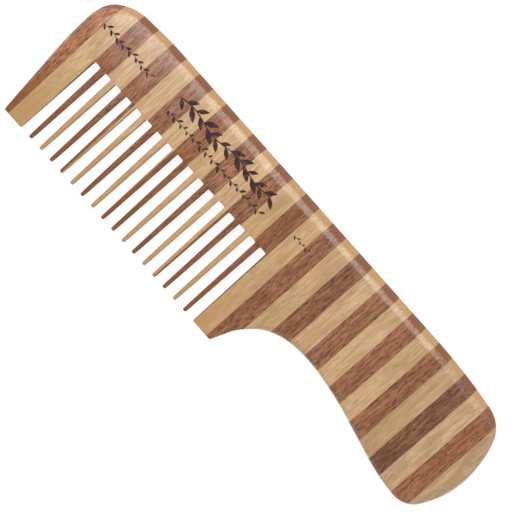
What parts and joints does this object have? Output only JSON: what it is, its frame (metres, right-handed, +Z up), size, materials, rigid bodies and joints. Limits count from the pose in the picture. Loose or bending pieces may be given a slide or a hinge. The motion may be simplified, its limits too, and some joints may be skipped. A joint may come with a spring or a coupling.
{
  "type": "wide tooth comb",
  "caption": "Handled wide tooth hair comb sawn from edge-glued bamboo, in alternating dark and light strips, with thinned teeth, two guard teeth and a finger rest under the handle.",
  "frame": {"origin": "on the underside, below the centre of the comb's bounding box", "axes": "+X along the comb from the head end to the handle end, +Y across it from the tooth tips to the spine, +Z up through the thickness"},
  "size_m": [0.1903, 0.0556, 0.01],
  "materials": {
    "carbonised_bamboo": "satin clear oil over steamed brown bamboo, grain along Y",
    "natural_bamboo": "satin clear oil over pale bamboo, grain along Y"
  },
  "bodies": {
    "root": {"strip_01_dark": "carbonised_bamboo", "strip_02_light": "natural_bamboo", "strip_03_dark": "carbonised_bamboo", "strip_04_light": "natural_bamboo", "strip_05_dark": "carbonised_bamboo", "strip_06_light": "natural_bamboo", "strip_07_dark": "carbonised_bamboo", "strip_08_light": "natural_bamboo", "strip_09_dark": "carbonised_bamboo", "strip_10_light": "natural_bamboo", "strip_11_dark": "carbonised_bamboo", "strip_12_light": "natural_bamboo", "strip_13_dark": "carbonised_bamboo", "strip_14_light": "natural_bamboo", "strip_15_dark": "carbonised_bamboo", "strip_16_light": "natural_bamboo", "strip_17_dark": "carbonised_bamboo", "strip_18_light": "natural_bamboo", "strip_19_dark": "carbonised_bamboo", "strip_20_light": "natural_bamboo", "strip_21_dark": "carbonised_bamboo", "strip_22_light": "natural_bamboo", "strip_23_dark": "carbonised_bamboo", "strip_24_light": "natural_bamboo", "strip_25_dark": "carbonised_bamboo", "strip_26_light": "natural_bamboo", "strip_27_dark": "carbonised_bamboo", "strip_28_light": "natural_bamboo", "strip_29_dark": "carbonised_bamboo", "strip_30_light": "natural_bamboo"}
  },
  "joints": []
}
